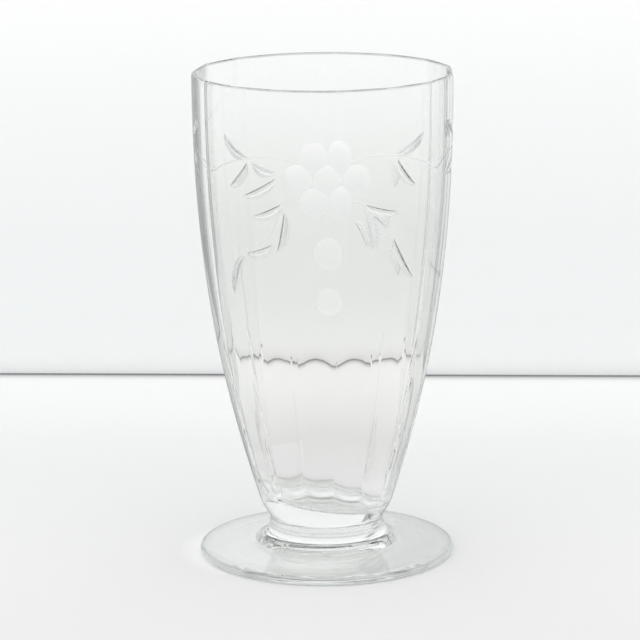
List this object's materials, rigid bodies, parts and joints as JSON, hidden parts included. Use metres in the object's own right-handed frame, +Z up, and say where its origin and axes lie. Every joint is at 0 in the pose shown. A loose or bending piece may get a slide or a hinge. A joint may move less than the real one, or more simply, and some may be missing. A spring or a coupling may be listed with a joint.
{
  "type": "pint glass",
  "caption": "Footed drinking glass: a tall tapered bowl of fifteen flat panels, wheel-cut with berries and leaves; holds about a pint of beer or water.",
  "frame": {"origin": "middle of the foot, on the surface the glass stands on", "axes": "+Z up along the glass's axis; the berry cluster faces -Y; +X to the right seen from -Y"},
  "size_m": [0.0808, 0.0808, 0.1535],
  "materials": {
    "bowl_glass": "fire-polished, with satin wheel cuts",
    "stem_glass": "fire-polished",
    "foot_glass": "fire-polished, with a ground resting ring"
  },
  "bodies": {
    "root": {"bowl": "bowl_glass", "stem": "stem_glass", "foot": "foot_glass"}
  },
  "joints": []
}
